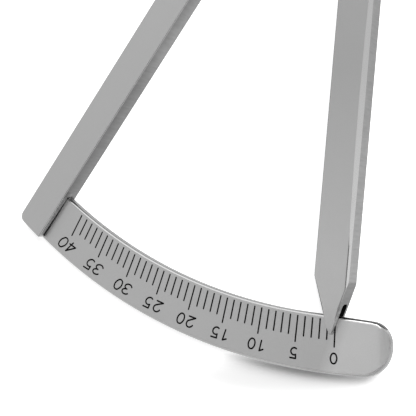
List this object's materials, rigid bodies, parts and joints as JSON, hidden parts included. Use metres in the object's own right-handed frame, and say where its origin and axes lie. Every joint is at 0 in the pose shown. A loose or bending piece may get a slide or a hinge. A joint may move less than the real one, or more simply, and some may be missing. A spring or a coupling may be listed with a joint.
{
  "type": "surgical caliper",
  "caption": "Pivoted steel caliper with fine measuring points at one end and a forked pointer over a curved engraved scale at the other.",
  "frame": {"origin": "on the pivot axis, in the plane of the tool's flat back", "axes": "+Z out of the front, which carries the scale's numbers, +Y towards the measuring points, -Y towards the scale, the fixed arm on the -X side"},
  "size_m": [0.0686, 0.1656, 0.0087],
  "materials": {
    "arm_steel": "fine satin",
    "scale_steel": "satin, engraved marks filled dark",
    "fastener_steel": "satin",
    "nut_steel": "satin, knurled rim"
  },
  "bodies": {
    "fixed_side": {"fixed_arm": "arm_steel", "scale_arc": "scale_steel", "scale_pins": "fastener_steel", "pivot_post": "fastener_steel", "joint_disc": "fastener_steel", "flat_washer": "fastener_steel", "spring_washer": "fastener_steel"},
    "pointer_side": {"pointer_arm": "arm_steel"},
    "nut": {"lock_nut": "nut_steel"}
  },
  "joints": [
    {"name": "main_pivot", "type": "hinge", "parent": "fixed_side", "child": "pointer_side", "pos_m": [0, 0, 0.00165], "axis": [0, 0, -1], "range_deg": [-0.31, 32.09]},
    {"name": "nut_turn", "type": "hinge", "parent": "fixed_side", "child": "nut", "pos_m": [0, 0, 0.0065], "axis": [0, 0, -1], "range_deg": [-180, 180]}
  ]
}
